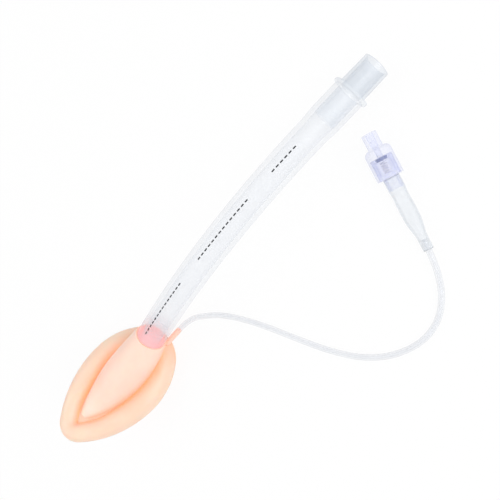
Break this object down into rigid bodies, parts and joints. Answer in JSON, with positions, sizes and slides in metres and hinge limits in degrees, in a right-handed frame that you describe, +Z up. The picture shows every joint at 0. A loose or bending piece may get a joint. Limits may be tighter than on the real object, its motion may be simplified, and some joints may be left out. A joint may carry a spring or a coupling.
{
  "type": "laryngeal mask airway",
  "caption": "Laryngeal mask airway: inflatable cuff and ridged bowl on a curved clear tube with a breathing connector, filling line, pilot balloon and sprung check valve.",
  "frame": {"origin": "on the table, under the middle of the mask, tube and connector", "axes": "+Z up, +X from the mask's tip towards the breathing connector; y = 0 is the plane of symmetry of mask and tube"},
  "size_m": [0.28, 0.137, 0.0442],
  "materials": {
    "cuff_silicone": "soft satin silicone",
    "bowl_silicone": "soft satin silicone",
    "clear_tube": "clear flexible tube",
    "connector_plastic": "clear rigid plastic",
    "clear_line": "clear flexible tube",
    "balloon_film": "thin clear film",
    "valve_clear": "clear rigid plastic",
    "valve_lavender": "lavender rigid plastic",
    "plunger_plastic": "moulded plastic",
    "seal_rubber": "soft rubber",
    "spring_steel": "stainless spring wire"
  },
  "bodies": {
    "airway": {"inflatable_cuff": "cuff_silicone", "mask_bowl": "bowl_silicone", "airway_tube": "clear_tube", "connector": "connector_plastic", "inflation_line": "clear_line", "pilot_balloon": "balloon_film", "valve_housing": "valve_clear", "valve_insert": "valve_lavender", "valve_spring": "spring_steel"},
    "plunger": {"valve_poppet": "plunger_plastic", "valve_seal": "seal_rubber"}
  },
  "joints": [
    {"name": "plunger_slide", "type": "slide", "parent": "airway", "child": "plunger", "axis": [-0.3726, -0.9223, -0.103], "range_m": [0, 0.0015], "stiffness_N_per_m": 200, "springref_m": -0.002, "deforming": ["valve_spring"]}
  ]
}
